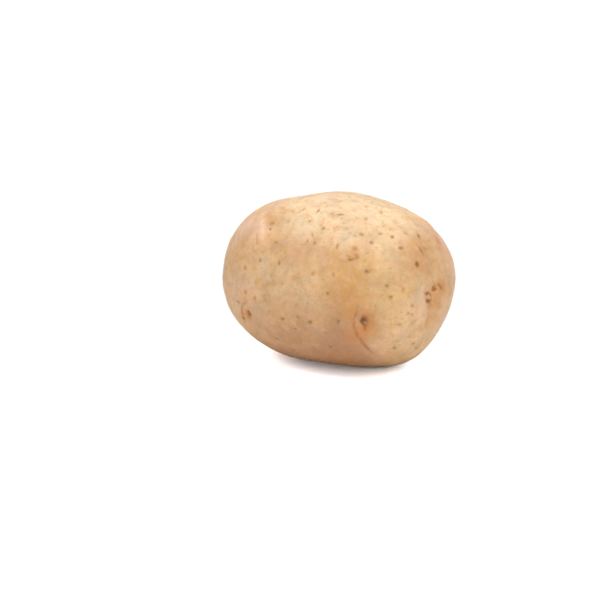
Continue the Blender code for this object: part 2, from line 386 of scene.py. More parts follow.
# The same on the sides that it doesn't show: azimuth, elevation, radius in millimetres, strength
TINTS_HIDDEN = {
    "honey": ((120, 20, 14, 0.5), (20, 0, 10, 0.4), (-160, 20, 12, 0.4)),
    # The pale patches high on the body are partly painted light on the top
    "pale_and_top_light": ((90, 66, 16, 0.8), (-160, 60, 12, 0.7), (150, 52, 12, 0.6), (30, 60, 10, 0.6)),
    "rosy": (
        (-128, -4, 9, 0.6), (60, 20, 14, 0.7), (120, 45, 12, 0.5), (170, -20, 14, 0.7),
        (100, -35, 14, 0.6), (-100, -45, 12, 0.6),
    ),
    "ochre": ((-140, -30, 12, 0.7), (20, -40, 12, 0.6), (80, 0, 12, 0.6), (140, 10, 11, 0.7)),
    # Earth underneath is painted shade of the underside
    "earth_and_shade": (
        (-105, -50, 16, 0.3), (-125, -40, 12, 0.2), (-80, -62, 12, 0.3), (0, -90, 16, 0.3),
        (110, -60, 14, 0.25),
    ),
    "smoke_and_shade": ((-100, 15, 8, 0.15), (100, 30, 9, 0.15), (150, -10, 8, 0.15), (50, -10, 8, 0.12)),
    "cream": ((-150, -25, 8, 0.2), (110, 10, 9, 0.2), (160, 15, 8, 0.2), (70, -20, 8, 0.2)),
    "straw": ((60, 0, 16, 0.5), (-150, 30, 14, 0.4), (130, 25, 14, 0.5)),
    "lilac": ((-175, 20, 9, 0.4), (80, 40, 9, 0.3)),
    # Tan low on the sides and underneath is painted shade of the underside; the others are the skin's own
    # tan
    "tan_and_shade": (
        (-95, -28, 18, 0.9), (-118, -45, 16, 0.7), (-150, 5, 12, 0.5), (60, -50, 18, 0.7),
        (130, -40, 16, 0.7), (0, -90, 22, 0.8), (40, 10, 10, 0.5),
    ),
}

BACK = Vector(
    (
        math.sin(AZIMUTH) * math.cos(ELEVATION),
        -math.cos(AZIMUTH) * math.cos(ELEVATION),
        math.sin(ELEVATION),
    )
)
RIGHT = Vector((math.cos(AZIMUTH), math.sin(AZIMUTH), 0))
UP = BACK.cross(RIGHT)


def add_camera():
    data = bpy.data.cameras.new("photo_camera")
    data.lens = LENS
    data.sensor_width = SENSOR
    camera = bpy.data.objects.new("photo_camera", data)
    bpy.context.scene.collection.objects.link(camera)
    camera.location = MIDDLE + BACK * DISTANCE
    aim = MIDDLE + RIGHT * AIM_RIGHT + UP * AIM_UP
    camera.rotation_euler = (camera.location - aim).to_track_quat("Z", "Y").to_euler()
    bpy.context.scene.camera = camera
    return camera


def direction(azimuth, elevation):
    """Unit vector from the middle of the body, for two angles in degrees."""
    around = math.radians(azimuth)
    above = math.radians(elevation)
    level = math.cos(above)
    return Vector((level * math.cos(around), level * math.sin(around), math.sin(above)))


def pick_alone(piece):
    """Makes this piece the only selected one."""
    for other in bpy.context.selected_objects:
        other.select_set(False)
    bpy.context.view_layer.objects.active = piece
    piece.select_set(True)


def apply_modifier(piece, kind, **settings):
    """Adds a modifier with these settings and applies it."""
    modifier = piece.modifiers.new(kind.lower(), kind)
    for name, value in settings.items():
        setattr(modifier, name, value)
    bpy.ops.object.modifier_apply(modifier=modifier.name)


def rounded_solid():
    """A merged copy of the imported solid, with its facets rounded, for the skin to be shrunk onto."""
    solid = bpy.data.objects.new("rounded_solid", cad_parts["potato"].data.copy())
    bpy.context.scene.collection.objects.link(solid)
    pick_alone(solid)
    bpy.ops.object.mode_set(mode="EDIT")
    bpy.ops.mesh.select_all(action="SELECT")
    bpy.ops.mesh.remove_doubles(threshold=MERGE_DISTANCE)
    bpy.ops.object.mode_set(mode="OBJECT")
    apply_modifier(solid, "SUBSURF", levels=SOLID_LEVELS, render_levels=SOLID_LEVELS)
    apply_modifier(solid, "SMOOTH", factor=SMOOTHING, iterations=SOLID_SMOOTHING_ROUNDS)
    return solid


def positions(piece):
    """The piece's points as an array, one row each."""
    points = np.empty(len(piece.data.vertices) * 3)
    piece.data.vertices.foreach_get("co", points)
    return points.reshape(-1, 3)


def crowd_to_eyes(piece, ways):
    """Moves the points of a ball towards each of these directions that is near."""
    points = positions(piece)
    points /= np.linalg.norm(points, axis=1, keepdims=True)
    for way in ways:
        angle = np.arccos(np.clip(points @ np.array(way), -1, 1))
        share = EYE_DRAW * np.clip(1 - angle / EYE_REACH, 0, 1) ** 2
        points += (np.array(way) - points) * share[:, None]
        points /= np.linalg.norm(points, axis=1, keepdims=True)
    piece.data.vertices.foreach_set("co", points.ravel())


def wrapped_skin(camera):
    """A ball of even quads, crowded towards the eyes and shrunk onto the rounded solid."""
    solid = rounded_solid()
    surface = BVHTree.FromObject(solid, bpy.context.evaluated_depsgraph_get())
    ways = [direction(*eye[:2]) for eye in EYES_HIDDEN.values()]
    for name in EYES_SEEN:
        ways.append((seen_at(surface, camera, BUDS_SEEN[name][0]) - MIDDLE).normalized())
    pick_alone(solid)
    bpy.ops.mesh.primitive_cube_add(size=1)
    skin = bpy.context.active_object
    skin.name = "potato_skin"
    skin.data.name = "potato_skin"
    pick_alone(skin)
    apply_modifier(skin, "SUBSURF", levels=BALL_LEVELS, render_levels=BALL_LEVELS)
    crowd_to_eyes(skin, ways)
    bpy.ops.object.mode_set(mode="EDIT")
    bpy.ops.mesh.select_all(action="SELECT")
    bpy.ops.transform.resize(value=(HIGH - LOW) / 2)
    bpy.ops.transform.translate(value=MIDDLE)
    bpy.ops.object.mode_set(mode="OBJECT")
    apply_modifier(skin, "SHRINKWRAP", target=solid, wrap_method="NEAREST_SURFACEPOINT")
    apply_modifier(skin, "SMOOTH", factor=SMOOTHING, iterations=SKIN_SMOOTHING_ROUNDS)
    bpy.data.objects.remove(solid)
    return skin


def seen_at(surface, camera, pixel):
    """The point of a surface that a pixel of the photograph shows."""
    across = (pixel[0] - IMAGE_SIDE / 2) / FOCAL_PIXELS
    down = (pixel[1] - IMAGE_SIDE / 2) / FOCAL_PIXELS
    ray = camera.rotation_euler.to_matrix() @ Vector((across, -down, -1))
    return surface.ray_cast(camera.location, ray.normalized())[0]


def lies_at(surface, azimuth, elevation):
    """The point of a surface, and its normal, in this direction from the body's middle."""
    way = direction(azimuth, elevation)
    point, normal, _, _ = surface.ray_cast(MIDDLE + way * (HIGH.x - LOW.x), -way)
    return point, normal


class Place:
    """A spot on the skin with two directions, and how far the skin's points lie along each."""

    def __init__(self, point, along, across):
        self.point = np.array(point)
        self.along = np.array(along)
        self.across = np.array(across)

    def reach(self, points, length, width, off=(0, 0)):
        """How far out each point lies of an ellipse with these halves: 1 on its edge."""
        away = points - self.point
        along = (away @ self.along - off[0]) / length
        across = (away @ self.across - off[1]) / width
        reach = np.hypot(along, across)
        reach[np.linalg.norm(away, axis=1) > MARK_REACH] = OUT_OF_REACH
        return reach


def turned_in_picture(turn):
    """The direction across the picture that is turned this far from its right, in degrees."""
    angle = math.radians(turn)
    return RIGHT * math.cos(angle) + UP * math.sin(angle)


def smooth_step(values):
    """0 below 0 and 1 above 1, with an even rise between."""
    share = np.clip(values, 0, 1)
    return share * share * (3 - 2 * share)


def fading(share, fade):
    """1 along a line, and down to 0 over this share of it at either end."""
    return smooth_step(np.minimum(share, 1 - share) / fade)


def from_line(points, line):
    """Each point's distance from a line of points, its share of the way along the line, and the
    line's nearest point."""
    least = np.full(len(points), np.inf)
    share = np.zeros(len(points))
    nearest = np.zeros((len(points), 3))
    spans = [np.linalg.norm(end - start) for start, end in zip(line, line[1:])]
    passed = 0.0
    for start, end, span in zip(line, line[1:], spans):
        along = np.clip((points - start) @ (end - start) / span**2, 0, 1)
        foot = start + along[:, None] * (end - start)
        away = np.linalg.norm(points - foot, axis=1)
        closer = away < least
        least[closer] = away[closer]
        nearest[closer] = foot[closer]
        share[closer] = (passed + along[closer] * span) / sum(spans)
        passed += span
    return least, share, nearest


def rounded_line(points, steps=5):
    """A line through these points, rounded at its corners."""
    line = [np.array(point) for point in points]
    ends = [2 * line[0] - line[1], *line, 2 * line[-1] - line[-2]]
    made = []
    for before, start, end, after in zip(ends, ends[1:], ends[2:], ends[3:]):
        for step in range(steps):
            t = step / steps
            made.append(
                0.5
                * (
                    2 * start
                    + (end - before) * t
                    + (2 * before - 5 * start + 4 * end - after) * t**2
                    + (3 * start - before - 3 * end + after) * t**3
                )
            )
    return made + [line[-1]]


class Marks:
    """What the marks do to each point of the skin: its rise, and the fields that tint it."""

    def __init__(self, skin, camera):
        self.points = positions(skin)
        self.camera = camera
        self.surface = BVHTree.FromObject(skin, bpy.context.evaluated_depsgraph_get())
        count = len(self.points)
        self.rise = np.zeros(count)
        self.fields = {
            "lenticel_edge": np.full(count, FAR_FROM_EDGE),
            "lenticel_dark": np.zeros(count),
            "crease_edge": np.full(count, FAR_FROM_EDGE),
            "crease_dark": np.zeros(count),
            "pit": np.zeros(count),
            "bud": np.zeros(count),
            "fold_and_highlight": np.zeros(count),
        }
        for tint in TINTS_SEEN:
            self.fields[tint] = np.zeros(count)

    def seen(self, pixel, turn=0):
        """The spot that a pixel shows, with directions in the picture's plane."""
        point = seen_at(self.surface, self.camera, pixel)
        return Place(point, turned_in_picture(turn), turned_in_picture(turn + 90))

    def lies(self, azimuth, elevation, along):
        """The spot in this direction from the middle, with directions along the skin."""
        point, normal = lies_at(self.surface, azimuth, elevation)
        flat = (along - normal * along.dot(normal)).normalized()
        return Place(point, flat, normal.cross(flat))

    def on_skin(self, point):
        """The skin's nearest point to this one."""
        return np.array(self.surface.find_nearest(Vector(point))[0])

    def nearer(self, name, values):
        """Keeps the smaller of a field and these values, and tells where they were smaller."""
        closer = values < self.fields[name]
        self.fields[name][closer] = values[closer]
        return closer

    def lenticel(self, place, length, width, dark):
        """A corky pore: a shallow dimple with an edge that the material colours."""
        reach = place.reach(self.points, length, width)
        closer = self.nearer("lenticel_edge", (reach - 1) * (length + width) / 2 / MM)
        self.fields["lenticel_dark"][closer] = dark
        self.rise -= LENTICEL_DEPTH * dark * np.exp(-((reach / SHADE_SLOPE) ** 2))

    def pit(self, place, length, width, depth, dark):
        """A hollow with a low rim."""
        reach = place.reach(self.points, length, width)
        self.rise -= depth * np.exp(-((reach / PIT_SLOPE) ** 3))
        self.rise += RIM_SHARE * depth * np.exp(-(((reach - RIM_AT) / RIM_WIDTH) ** 2))
        shade = dark * np.exp(-((reach / SHADE_SLOPE) ** 3))
        self.fields["pit"] = np.maximum(self.fields["pit"], shade)

    def bud(self, place, length, width, height, off=(0, 0)):
        """A small pale dome."""
        reach = place.reach(self.points, length, width, off)
        dome = np.exp(-((reach / PIT_SLOPE) ** 3))
        self.rise += height * dome
        self.fields["bud"] = np.maximum(self.fields["bud"], dome)

    def crease(self, line, width, depth, dark):
        """A groove along a line, which fades out at both ends."""
        away, share, _ = from_line(self.points, line)
        strength = fading(share, CREASE_FADE)
        self.rise -= depth * strength * np.exp(-((away / width) ** 2))
        closer = self.nearer("crease_edge", (away - width) / MM)
        self.fields["crease_dark"][closer] = (dark * strength)[closer]

    def brow(self, line, inside, size, step, dark):
        """A crease with a lip that steps up on the side away from its eye."""
        away, share, nearest = from_line(self.points, line)
        strength = fading(share, LIP_FADE)
        to_point = np.linalg.norm(self.points - inside, axis=1)
        to_line = np.linalg.norm(nearest - inside, axis=1)
        past = np.where(to_point > to_line, away, -away) / (BROW_REACH * size)
        lip = smooth_step(past / LIP_STEP + 0.5) * np.exp(-(np.clip(past, 0, None) ** 2))
        self.rise += step * size * strength * lip
        self.crease(line, CREASE_WIDTH * size, CREASE_DEPTH * size * dark, dark)

    def fold_and_highlight(self, line, width, height):
        """A soft fold that stands proud along a line, pale along it, which is partly a painted highlight.
        """
        away, share, _ = from_line(self.points, line)
        strength = fading(share, LIP_FADE)
        proud = strength * np.exp(-((away / width) ** 2))
        self.rise += height * proud
        self.fields["fold_and_highlight"] = np.maximum(self.fields["fold_and_highlight"], proud)

    def tint(self, name, point, radius, strength):
        """A soft patch of another tint."""
        away = np.linalg.norm(self.points - point, axis=1)
        patch = strength * np.exp(-((away / radius) ** 2))
        self.fields[name] = 1 - (1 - self.fields[name]) * (1 - patch)


def brow_line(marks, place, size):
    """The points of a brow's crease, bent round its eye, for an eye that isn't in the picture."""
    line = []
    for share in np.linspace(-1, 1, BROW_POINTS):
        side = share * BROW_LENGTH * size
        up = BROW_GAP * size - side * side / (2 * BROW_BEND * size)
        line.append(marks.on_skin(place.point + place.along * side + place.across * up))
    return line


def skin_line(marks, pixels):
    return rounded_line([marks.seen(pixel).point for pixel in pixels])


def mark_eyes(marks):
    for pixel, length, width, turn, depth, dark in PITS_SEEN.values():
        marks.pit(marks.seen(pixel, turn), length * MM, width * MM, depth * MM, dark)
    for pixel, length, width, turn, height in BUDS_SEEN.values():
        marks.bud(marks.seen(pixel, turn), length * MM, width * MM, height * MM)
    for pixels, inside, dark in BROWS_SEEN.values():
        marks.brow(skin_line(marks, pixels), marks.seen(inside).point, 1, BROW_STEP, dark)
    for azimuth, elevation, turn, size, dark in EYES_HIDDEN.values():
        way = direction(azimuth, elevation)
        heel = Matrix.Rotation(math.radians(turn), 3, way) @ Vector((-1, 0, 0))
        place = marks.lies(azimuth, elevation, heel.cross(way))
        pit, bud, off = [
            [part * size * MM for part in parts] for parts in (HIDDEN_PIT, HIDDEN_BUD, HIDDEN_BUD_OFF)
        ]
        marks.pit(place, *pit, HIDDEN_PIT_DARK)
        marks.bud(place, *bud, off)
        marks.brow(brow_line(marks, place, size), place.point, size, HIDDEN_BROW_STEP, dark)
        marks.tint("rust", place.point, HALO_RADIUS * size, HALO_STRENGTH)


def mark_stolon_scar(marks):
    """Where the stolon broke off: a brown, corky stub in a hollow, with the skin puckered round it."""
    place = marks.lies(*STOLON_SCAR, Vector((0, 1, 0)))
    radius, depth = SCAR_HOLLOW
    marks.rise -= depth * np.exp(-(place.reach(marks.points, radius, radius) ** 2))
    marks.pit(place, *SCAR_FLOOR, SCAR_DARK)
    marks.bud(place, *SCAR_STUB)
    for tint, (share, strength) in SCAR_TINTS.items():
        marks.tint(tint, place.point, share * radius, strength)
    draw = random.Random(SEED)
    for number in range(SCAR_PUCKERS):
        angle = 2 * math.pi * number / SCAR_PUCKERS + draw.uniform(*PUCKER_TURNS)
        outward = place.along * math.cos(angle) + place.across * math.sin(angle)
        far = radius * draw.uniform(*PUCKER_ENDS)
        steps = np.linspace(PUCKER_START * radius, far, PUCKER_POINTS)
        line = [marks.on_skin(place.point + outward * step) for step in steps]
        marks.crease(line, PUCKER_WIDTH, PUCKER_DEPTH, draw.uniform(*PUCKER_DARKS))


def mark_lenticels(marks):
    """The lenticels in the picture, and scattered ones with some space between them elsewhere."""
    taken = []
    for pixel, length, width, turn, dark in LENTICELS_SEEN:
        place = marks.seen(pixel, turn)
        marks.lenticel(place, length * MM, width * MM, dark)
        taken.append(place.point)
    draw = random.Random(SEED)
    taken.append(marks.lies(*STOLON_SCAR, Vector((0, 1, 0))).point)
    for _ in range(LENTICEL_TRIES):
        azimuth = draw.uniform(-180, 180)
        elevation = math.degrees(math.asin(draw.uniform(-1, 1)))
        across = Vector((draw.uniform(*LENTICEL_SLANTS), 1, LENTICEL_RISE))
        length = draw.uniform(*LENTICEL_LENGTHS)
        width = length * draw.uniform(*LENTICEL_WIDTHS)
        dark = draw.uniform(*LENTICEL_DARKS)
        place = marks.lies(azimuth, elevation, across)
        crowded = any(np.linalg.norm(place.point - other) < LENTICEL_SPACE for other in taken)
        if crowded or shows_in_picture(marks, place.point):
            continue
        marks.lenticel(place, length * MM, width * MM, dark)
        taken.append(place.point)


def shows_in_picture(marks, point):
    """Whether the photograph shows this point of the skin. The lower left is out of sight."""
    offset = Vector(point) - MIDDLE
    if offset.dot(RIGHT) < 0 and offset.dot(UP) < HIDDEN_BELOW:
        return False
    to_camera = (marks.camera.location - Vector(point)).normalized()
    return marks.surface.ray_cast(Vector(point) + to_camera * MM, to_camera)[0] is None


def mark_scars(marks):
    for pixels, width, dark in SCARS_SEEN.values():
        marks.crease(skin_line(marks, pixels), width * MM, SCAR_DEPTH, dark)


def mark_folds_and_swells(marks):
    for pixels, width, height in FOLDS_SEEN.values():
        marks.fold_and_highlight(skin_line(marks, pixels), width * MM, height * MM)
    for pixel, radius, height in SWELLS_SEEN.values():
        away = np.linalg.norm(marks.points - marks.seen(pixel).point, axis=1)
        marks.rise += height * MM * np.exp(-((away / (radius * MM)) ** 2))


def mark_tints(marks):
    for name, patches in TINTS_SEEN.items():
        for pixel, radius, strength in patches:
            marks.tint(name, marks.seen(pixel).point, radius * MM, strength)
    for name, patches in TINTS_HIDDEN.items():
        for azimuth, elevation, radius, strength in patches:
            point = np.array(lies_at(marks.surface, azimuth, elevation)[0])
            marks.tint(name, point, radius * MM, strength)


def displace(skin, heights):
    """Moves each point out by its height, through a vertex group that holds the share of each."""
    for name, sign in (("raised", 1), ("sunk", -1)):
        part = np.clip(sign * heights, 0, None)
        most = float(part.max())
        group = skin.vertex_groups.new(name=name)
        for index in np.flatnonzero(part > LEAST_HEIGHT):
            group.add([int(index)], float(part[index] / most), "REPLACE")
        apply_modifier(skin, "DISPLACE", vertex_group=name, strength=sign * most, mid_level=0.0)
        skin.vertex_groups.remove(skin.vertex_groups[name])


def ripple(skin):
    """The slow waves of the skin, by cloud textures."""
    for name, (size, height) in WAVES.items():
        clouds = bpy.data.textures.new(name, "CLOUDS")
        clouds.noise_scale = size
        settings = {"texture": clouds, "texture_coords": "LOCAL"}
        apply_modifier(skin, "DISPLACE", strength=height, mid_level=0.5, **settings)


class Wire:
    """A socket of a node tree, on which sums are written as on numbers."""

    def __init__(self, tree, socket):
        self.tree = tree
        self.socket = socket

    def math(self, operation, *values):
        return self.tree.node("ShaderNodeMath", {"operation": operation}, dict(enumerate(values)))

    def __add__(self, other):
        return self.math("ADD", self, other)

    def __radd__(self, other):
        return self.math("ADD", other, self)

    def __sub__(self, other):
        return self.math("SUBTRACT", self, other)

    def __rsub__(self, other):
        return self.math("SUBTRACT", other, self)

    def __mul__(self, other):
        return self.math("MULTIPLY", self, other)

    def __rmul__(self, other):
        return self.math("MULTIPLY", other, self)


class Tree:
    """The nodes of a material, or of the world."""

    def __init__(self, owner, shader="Principled BSDF"):
        owner.use_nodes = True
        self.nodes = owner.node_tree.nodes
        self.links = owner.node_tree.links
        self.shader = self.nodes[shader]

    def plug(self, value, socket):
        if isinstance(value, Wire):
            self.links.new(value.socket, socket)
        else:
            socket.default_value = value

    def feed(self, name, value):
        """Sets or links one of the shader's own sockets."""
        self.plug(value, self.shader.inputs[name])

    def node(self, kind, settings=None, sockets=None, output=0):
        """A new node with its settings and the values or links of its sockets."""
        made = self.nodes.new(kind)
        for name, value in (settings or {}).items():
            setattr(made, name, value)
        for name, value in (sockets or {}).items():
            self.plug(value, made.inputs[name])
        return Wire(self, made.outputs[output])

    def field(self, name):
        """One of the skin's own fields."""
        return self.node("ShaderNodeAttribute", {"attribute_name": name}, output="Fac")

    def noise(self, place, size, detail, roughness):
        """Noise whose waves have this size in metres, mostly from 0.3 to 0.7."""
        sockets = {"Vector": place, "Scale": 1 / size, "Detail": detail, "Roughness": roughness}
        return self.node("ShaderNodeTexNoise", {}, sockets)

    def step(self, value, low, high):
        """0 up to low and 1 from high, with an even rise between. High may be the lower one."""
        sockets = {"Value": value, "From Min": low, "From Max": high}
        return self.node("ShaderNodeMapRange", {"interpolation_type": "SMOOTHSTEP"}, sockets)

    def mix(self, share, base, over):
        """A base colour with this share of another over it."""
        sockets = {0: share, 6: base, 7: over}
        return self.node("ShaderNodeMix", {"data_type": "RGBA"}, sockets, output=2)


# Colours, linear
GOLD = (0.62, 0.395, 0.20, 1)
# Paler tone of the skin, which the pale tint also lays over the top as painted light
PALE_AND_TOP_LIGHT = (0.65, 0.505, 0.33, 1)
ROSY = (0.62, 0.35, 0.21, 1)
OCHRE = (0.54, 0.29, 0.10, 1)
LILAC = (0.63, 0.43, 0.40, 1)
# Neutral dark brown, in one patch painted shade
SMOKE_AND_SHADE = (0.28, 0.19, 0.11, 1)
STRAW = (0.61, 0.385, 0.11, 1)
CREAM = (0.78, 0.62, 0.42, 1)
HONEY = (0.74, 0.46, 0.215, 1)
# Darker tan of the skin, also used as painted shade low on the body
TAN_AND_SHADE = (0.46, 0.225, 0.095, 1)
# Dark brown of small stains, also used as painted shade low on the body
EARTH_AND_SHADE = (0.31, 0.13, 0.055, 1)
UMBER = (0.25, 0.115, 0.03, 1)
OLIVE = (0.37, 0.215, 0.055, 1)
RUST = (0.51, 0.19, 0.05, 1)
PIT_BROWN = (0.32, 0.13, 0.042, 1)
PIT_RED = (0.24, 0.075, 0.035, 1)
PIT_GREY = (0.22, 0.14, 0.09, 1)
BUD_TAN = (0.50, 0.30, 0.205, 1)
CREASE_BROWN = (0.37, 0.15, 0.045, 1)
# Pale pink along the folds, partly a painted highlight
FOLD_PINK_HIGHLIGHT = (0.68, 0.48, 0.35, 1)

# Noises that the skin varies by: size of a wave, detail, roughness, and whether it is read off to
# one side, so that it doesn't follow the others
NOISES = {
    "broad": (22 * MM, 2.0, 0.5, False),
    "patch": (7 * MM, 3.0, 0.55, False),
    "mottle": (2.8 * MM, 3.0, 0.6, False),
    "grain": (0.5 * MM, 2.0, 0.6, False),
    "blotch": (3.4 * MM, 3.0, 0.6, True),
    "speck": (1.3 * MM, 2.0, 0.6, True),
    "shade": (8 * MM, 5.0, 0.65, True),
}
ASIDE = (0.3, 0.2, 0.1)
COARSE_RANGE = (0.65, 1.15)

# Tints that the skin's fields place, under the patches and over them: colour, the share of the field
# that shows anyway, and how much more shows by which noise
TINTS_UNDER = {
    # The pale tint, partly painted light on the top
    "pale_and_top_light": (PALE_AND_TOP_LIGHT, 0.5, 0.7, "broad"),
    # The tan tint, partly painted shade low on the body
    "tan_and_shade": (TAN_AND_SHADE, 0.5, 0.8, "patch"),
    "rosy": (ROSY, 0.0, 1.0, "coarse"),
    "ochre": (OCHRE, 0.5, 0.7, "broad"),
    "straw": (STRAW, 0.5, 0.7, "patch"),
    "honey": (HONEY, 0.5, 0.7, "patch"),
}
TINTS_OVER = {
    # The earth tint, partly painted shade low on the body
    "earth_and_shade": (EARTH_AND_SHADE, 0.4, 1.0, "mottle"),
    "lilac": (LILAC, 1.0, 0.0, "mottle"),
    # The smoke tint, in one patch painted shade
    "smoke_and_shade": (SMOKE_AND_SHADE, 1.0, 0.0, "mottle"),
    "cream": (CREAM, 1.0, 0.0, "mottle"),
}
# The folds' pale tint, partly a painted highlight
FOLD_HIGHLIGHT_TINT = {"fold_and_highlight": (FOLD_PINK_HIGHLIGHT, 0.4, 0.0, "mottle")}
RUST_TINT = {"rust": (RUST, 0.45, 0.9, "mottle")}
# Patches that lie anywhere: noise, its value where they start and where they are full, share, colour
GROUND_PATCHES = (("patch", 0.40, 0.62, 0.4, PALE_AND_TOP_LIGHT),)
PATCHES = (
    ("mottle", 0.48, 0.66, 0.55, ROSY),
    ("blotch", 0.50, 0.68, 0.55, OCHRE),
    ("blotch", 0.50, 0.25, 0.25, PALE_AND_TOP_LIGHT),
)
GRAIN_PATCHES = (("grain", 0.52, 0.72, 0.2, UMBER),)
SPECK_RANGE = (0.55, 0.72)
SPECKLED_RANGE = (0.35, 0.6)
SPECK_SHARE = 0.3
# How much the colour lightens and darkens by the shade's noise
SHADE_SWING = 0.7
NOISE_MIDDLE = 0.5

# Faint dots all over: space from one to the next, where a dot starts and is full, the chances of the
# faintest and the darkest, share
DOT_SPACE = 3.0 * MM
DOT_RANGE = (0.36, 0.18)
DOT_CHANCES = (0.25, 0.9)
DOT_RAGGED = 0.3
DOT_SHARE = 0.5

# How ragged two noises make the edges of the marks, and the share of that for each kind of mark
RAGGED_BY_SPECK = 0.9
RAGGED_BY_GRAIN = 0.6
CREASE_RAGGED = 0.8
PIT_RAGGED = 0.9
BUD_RAGGED = 0.3
# Where the marks start and are full, in millimetres from the edge or by the field's own value, and
# their shares
LENTICEL_RIM = (0.85, -0.3)
LENTICEL_RIM_SHARE = 0.5
LENTICEL_CORE = (0.35, -0.55)
LENTICEL_CORE_SHARE = 0.75
CREASE_RANGE = (0.5, -0.4)
CREASE_GAPS = (0.24, 0.54)
CREASE_SHARE = 0.95
PIT_RANGE = (0.22, 0.95)
PIT_DEEP_RANGE = (0.84, 1.05)
PIT_GREY_RANGE = (0.42, 0.58)
BUD_RANGE = (0.25, 0.85)
BUD_SHARE = 0.7

SKIN_ROUGHNESS = 0.42
ROUGHER = 0.2
# Fine relief: how much of each noise and mark stands up, or is sunk if negative
RELIEF = {"grain": 0.5, "mottle": 0.8, "speck": 0.5, "core": -1.0, "crease": -0.5, "dots": -0.25}
BUMP_STRENGTH = 0.5
BUMP_DISTANCE = 0.18 * MM
GLOW_WEIGHT = 0.1
GLOW_RADIUS = (1.0, 0.45, 0.2)
GLOW_SCALE = 2.5 * MM
SKIN_SPECULAR = 0.3


def skin_noises(tree, place):
    """The noises that the skin varies by, by name."""
    aside = tree.node("ShaderNodeVectorMath", {"operation": "ADD"}, {0: place, 1: ASIDE})
    noises = {}
    for name, (size, detail, roughness, moved) in NOISES.items():
        noises[name] = tree.noise(aside if moved else place, size, detail, roughness)
    noises["coarse"] = tree.step(noises["patch"] + noises["broad"], *COARSE_RANGE)
    return noises


def tinted(tree, noises, colour, tints):
    """The colour with these tints over it, where the skin's fields place them."""
    for name, (over, least, more, noise) in tints.items():
        colour = tree.mix(tree.field(name) * (least + more * noises[noise]), colour, over)
    return colour


def patched(tree, noises, colour, patches):
    """The colour with patches over it that lie anywhere."""
    for noise, start, full, share, over in patches:
        colour = tree.mix(tree.step(noises[noise], start, full) * share, colour, over)
    return colour


def faint_dots(tree, place, speck):
    """How much of a faint dot there is at each place."""
    cells = {"Vector": place, "Scale": 1 / DOT_SPACE, "Randomness": 1.0}
    away = tree.node("ShaderNodeTexVoronoi", {"feature": "F1"}, cells, output="Distance")
    cell = tree.node("ShaderNodeTexVoronoi", {"feature": "F1"}, cells, output="Color")
    chance = tree.node("ShaderNodeSeparateColor", {}, {0: cell}, output="Red")
    return tree.step(away + DOT_RAGGED * speck, *DOT_RANGE) * tree.step(chance, *DOT_CHANCES)


def bare_skin_colour(tree, noises, dots):
    """The golden skin with its patches, tints, specks and faint dots, and none of its marks."""
    speck = noises["speck"]
    colour = patched(tree, noises, GOLD, GROUND_PATCHES)
    colour = tinted(tree, noises, colour, TINTS_UNDER)
    colour = patched(tree, noises, colour, PATCHES)
    colour = tinted(tree, noises, colour, TINTS_OVER)
    speckled = tree.step(speck, *SPECK_RANGE) * tree.step(noises["patch"], *SPECKLED_RANGE)
    colour = tree.mix(speckled * SPECK_SHARE, colour, OLIVE)
    colour = patched(tree, noises, colour, GRAIN_PATCHES)
    colour = tinted(tree, noises, colour, FOLD_HIGHLIGHT_TINT)
    shade = 1 + SHADE_SWING * (noises["shade"] - NOISE_MIDDLE)
    scaled = {0: colour, "Scale": shade}
    colour = tree.node("ShaderNodeVectorMath", {"operation": "SCALE"}, scaled)
    colour = tinted(tree, noises, colour, RUST_TINT)
    return tree.mix(dots * DOT_SHARE, colour, OLIVE)


def lenticel_masks(tree, ragged):
    """How much of a lenticel's rim and of its core there is at each place."""
    inside = tree.field("lenticel_edge") + ragged
    dark = tree.field("lenticel_dark")
    return tree.step(inside, *LENTICEL_RIM) * dark, tree.step(inside, *LENTICEL_CORE) * dark


def crease_mask(tree, ragged):
    """How much of a crease there is at each place."""
    along = tree.step(tree.field("crease_edge") + CREASE_RAGGED * ragged, *CREASE_RANGE)
    return along * tree.field("crease_dark")


def with_eyes(tree, speck, ragged, pit, colour):
    """The colour with the brown pits of the eyes over it, and their tan buds in them."""
    deep = tree.mix(tree.step(speck, *PIT_GREY_RANGE), PIT_RED, PIT_GREY)
    pit_colour = tree.mix(tree.step(tree.field("pit"), *PIT_DEEP_RANGE), PIT_BROWN, deep)
    colour = tree.mix(pit, colour, pit_colour)
    bud = tree.step(tree.field("bud") + BUD_RAGGED * ragged, *BUD_RANGE)
    return tree.mix(bud * BUD_SHARE, colour, BUD_TAN)


